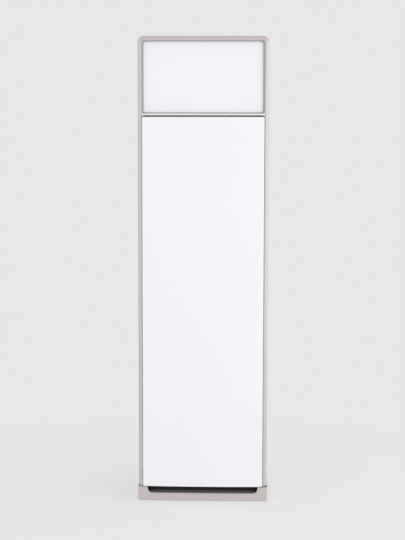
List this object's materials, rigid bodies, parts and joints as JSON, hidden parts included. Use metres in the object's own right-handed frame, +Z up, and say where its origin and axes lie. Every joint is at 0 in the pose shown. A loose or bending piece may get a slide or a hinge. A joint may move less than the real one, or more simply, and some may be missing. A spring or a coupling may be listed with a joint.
{
  "type": "floor standing air conditioner",
  "caption": "Slim floor standing air conditioner: sliding outlet door over swinging louvres, smooth tilting front panel, side intakes and a centrifugal fan inside.",
  "frame": {"origin": "centre of the footprint, on the floor", "axes": "+Z up, front panel faces -Y, +X to the right seen from the front"},
  "size_m": [0.492, 0.31, 1.75],
  "materials": {
    "taupe_trim": "semi-gloss champagne taupe",
    "white_gloss": "smooth gloss white",
    "white_steel": "powder coated white",
    "black_plastic": "matt black",
    "white_plastic": "satin white",
    "grey_plastic": "matt grey",
    "foam": "moulded foam",
    "galvanised_steel": "galvanised",
    "coil_aluminium": "bare fins",
    "copper": "bare copper tube",
    "board_green": "lacquered circuit board"
  },
  "bodies": {
    "cabinet": {"base_plinth": "taupe_trim", "front_trim_upper": "taupe_trim", "front_trim_lower": "taupe_trim", "top_cover": "taupe_trim", "plinth_scoop_liner": "black_plastic", "base_pan": "galvanised_steel", "wall_bracket": "galvanised_steel", "door_motor_left": "galvanised_steel", "door_motor_right": "galvanised_steel", "louvre_motor": "galvanised_steel", "vane_motor": "galvanised_steel", "coil_end_plate_left": "galvanised_steel", "coil_end_plate_right": "galvanised_steel", "fan_deck": "galvanised_steel", "fan_scroll": "galvanised_steel", "inlet_ring": "galvanised_steel", "fan_motor": "galvanised_steel", "motor_bracket": "galvanised_steel", "electrical_box": "galvanised_steel", "electrical_cover": "galvanised_steel", "side_panel_left": "white_steel", "side_panel_right": "white_steel", "back_panel": "white_steel", "cross_bar": "white_gloss", "door_guide_left": "white_plastic", "door_guide_right": "white_plastic", "drain_hose": "grey_plastic", "outlet_duct": "foam", "drain_pan": "foam", "chamber_cover": "foam", "evaporator_coil": "coil_aluminium", "gas_pipe": "copper", "liquid_pipe": "copper", "control_board": "board_green"},
    "outlet_door": {"outlet_door": "white_gloss", "door_rack_left": "white_plastic", "door_rack_right": "white_plastic"},
    "door_pinion_left": {"door_pinion_left": "white_plastic"},
    "door_pinion_right": {"door_pinion_right": "white_plastic"},
    "louvre_1": {"louvre_1": "white_plastic"},
    "louvre_2": {"louvre_2": "white_plastic"},
    "louvre_3": {"louvre_3": "white_plastic"},
    "louvre_4": {"louvre_4": "white_plastic"},
    "louvre_5": {"louvre_5": "white_plastic"},
    "louvre_link": {"louvre_link": "white_plastic"},
    "vane_1": {"vane_1": "white_plastic"},
    "vane_2": {"vane_2": "white_plastic"},
    "vane_3": {"vane_3": "white_plastic"},
    "vane_4": {"vane_4": "white_plastic"},
    "vane_5": {"vane_5": "white_plastic"},
    "vane_link": {"vane_link": "white_plastic"},
    "fan": {"fan_wheel": "grey_plastic", "fan_nut": "galvanised_steel", "motor_shaft": "galvanised_steel"},
    "front_panel": {"lower_front_panel": "white_gloss", "touch_keypad": "black_plastic"},
    "intake_cassette_left": {"intake_grille_left": "white_plastic", "intake_filter_left": "grey_plastic"},
    "intake_cassette_right": {"intake_grille_right": "white_plastic", "intake_filter_right": "grey_plastic"}
  },
  "joints": [
    {"name": "door_slide", "type": "slide", "parent": "cabinet", "child": "outlet_door", "axis": [0, 0, -1], "range_m": [0, 0.258]},
    {"name": "door_pinion_left_turn", "type": "hinge", "parent": "cabinet", "child": "door_pinion_left", "pos_m": [-0.2188, -0.1142, 1.457], "axis": [1, 0, 0], "range_deg": [0, 1480]},
    {"name": "door_pinion_right_turn", "type": "hinge", "parent": "cabinet", "child": "door_pinion_right", "pos_m": [0.2188, -0.1142, 1.457], "axis": [1, 0, 0], "range_deg": [0, 1480]},
    {"name": "louvre_swing", "type": "hinge", "parent": "cabinet", "child": "louvre_3", "pos_m": [0, -0.097, 1.601], "axis": [1, 0, 0], "range_deg": [-35, 35]},
    {"name": "louvre_1_swing", "type": "hinge", "parent": "cabinet", "child": "louvre_1", "pos_m": [0, -0.097, 1.5042], "axis": [1, 0, 0], "range_deg": [-35, 35]},
    {"name": "louvre_2_swing", "type": "hinge", "parent": "cabinet", "child": "louvre_2", "pos_m": [0, -0.097, 1.5526], "axis": [1, 0, 0], "range_deg": [-35, 35]},
    {"name": "louvre_4_swing", "type": "hinge", "parent": "cabinet", "child": "louvre_4", "pos_m": [0, -0.097, 1.6494], "axis": [1, 0, 0], "range_deg": [-35, 35]},
    {"name": "louvre_5_swing", "type": "hinge", "parent": "cabinet", "child": "louvre_5", "pos_m": [0, -0.097, 1.6978], "axis": [1, 0, 0], "range_deg": [-35, 35]},
    {"name": "louvre_link_pivot", "type": "hinge", "parent": "louvre_3", "child": "louvre_link", "pos_m": [0.208, -0.081, 1.601], "axis": [1, 0, 0], "range_deg": [-35, 35]},
    {"name": "vane_swing", "type": "hinge", "parent": "cabinet", "child": "vane_3", "pos_m": [0, -0.04, 1.6], "axis": [0, 0, 1], "range_deg": [-30, 30]},
    {"name": "vane_1_swing", "type": "hinge", "parent": "cabinet", "child": "vane_1", "pos_m": [-0.1712, -0.04, 1.6], "axis": [0, 0, 1], "range_deg": [-30, 30]},
    {"name": "vane_2_swing", "type": "hinge", "parent": "cabinet", "child": "vane_2", "pos_m": [-0.0856, -0.04, 1.6], "axis": [0, 0, 1], "range_deg": [-30, 30]},
    {"name": "vane_4_swing", "type": "hinge", "parent": "cabinet", "child": "vane_4", "pos_m": [0.0856, -0.04, 1.6], "axis": [0, 0, 1], "range_deg": [-30, 30]},
    {"name": "vane_5_swing", "type": "hinge", "parent": "cabinet", "child": "vane_5", "pos_m": [0.1712, -0.04, 1.6], "axis": [0, 0, 1], "range_deg": [-30, 30]},
    {"name": "vane_link_pivot", "type": "hinge", "parent": "vane_3", "child": "vane_link", "pos_m": [0, -0.024, 1.488], "axis": [0, 0, 1], "range_deg": [-30, 30]},
    {"name": "fan_spin", "type": "hinge", "parent": "cabinet", "child": "fan", "pos_m": [0, 0.02, 0.37], "axis": [0, 1, 0], "continuous": true},
    {"name": "front_panel_tilt", "type": "hinge", "parent": "cabinet", "child": "front_panel", "pos_m": [0, -0.1425, 0.0612], "axis": [1, 0, 0], "range_deg": [0, 18]},
    {"name": "intake_left_pull", "type": "slide", "parent": "cabinet", "child": "intake_cassette_left", "axis": [-1, 0, 0], "range_m": [0, 0.04]},
    {"name": "intake_right_pull", "type": "slide", "parent": "cabinet", "child": "intake_cassette_right", "axis": [1, 0, 0], "range_m": [0, 0.04]}
  ],
  "couplings": [
    {"joint": "door_pinion_left_turn", "follows": "door_slide", "rad_per_m": 100},
    {"joint": "door_pinion_right_turn", "follows": "door_slide", "rad_per_m": 100},
    {"joint": "louvre_1_swing", "follows": "louvre_swing", "ratio": 1},
    {"joint": "vane_1_swing", "follows": "vane_swing", "ratio": 1},
    {"joint": "louvre_2_swing", "follows": "louvre_swing", "ratio": 1},
    {"joint": "vane_2_swing", "follows": "vane_swing", "ratio": 1},
    {"joint": "louvre_4_swing", "follows": "louvre_swing", "ratio": 1},
    {"joint": "vane_4_swing", "follows": "vane_swing", "ratio": 1},
    {"joint": "louvre_5_swing", "follows": "louvre_swing", "ratio": 1},
    {"joint": "vane_5_swing", "follows": "vane_swing", "ratio": 1},
    {"joint": "louvre_link_pivot", "follows": "louvre_swing", "ratio": -1},
    {"joint": "vane_link_pivot", "follows": "vane_swing", "ratio": -1}
  ]
}
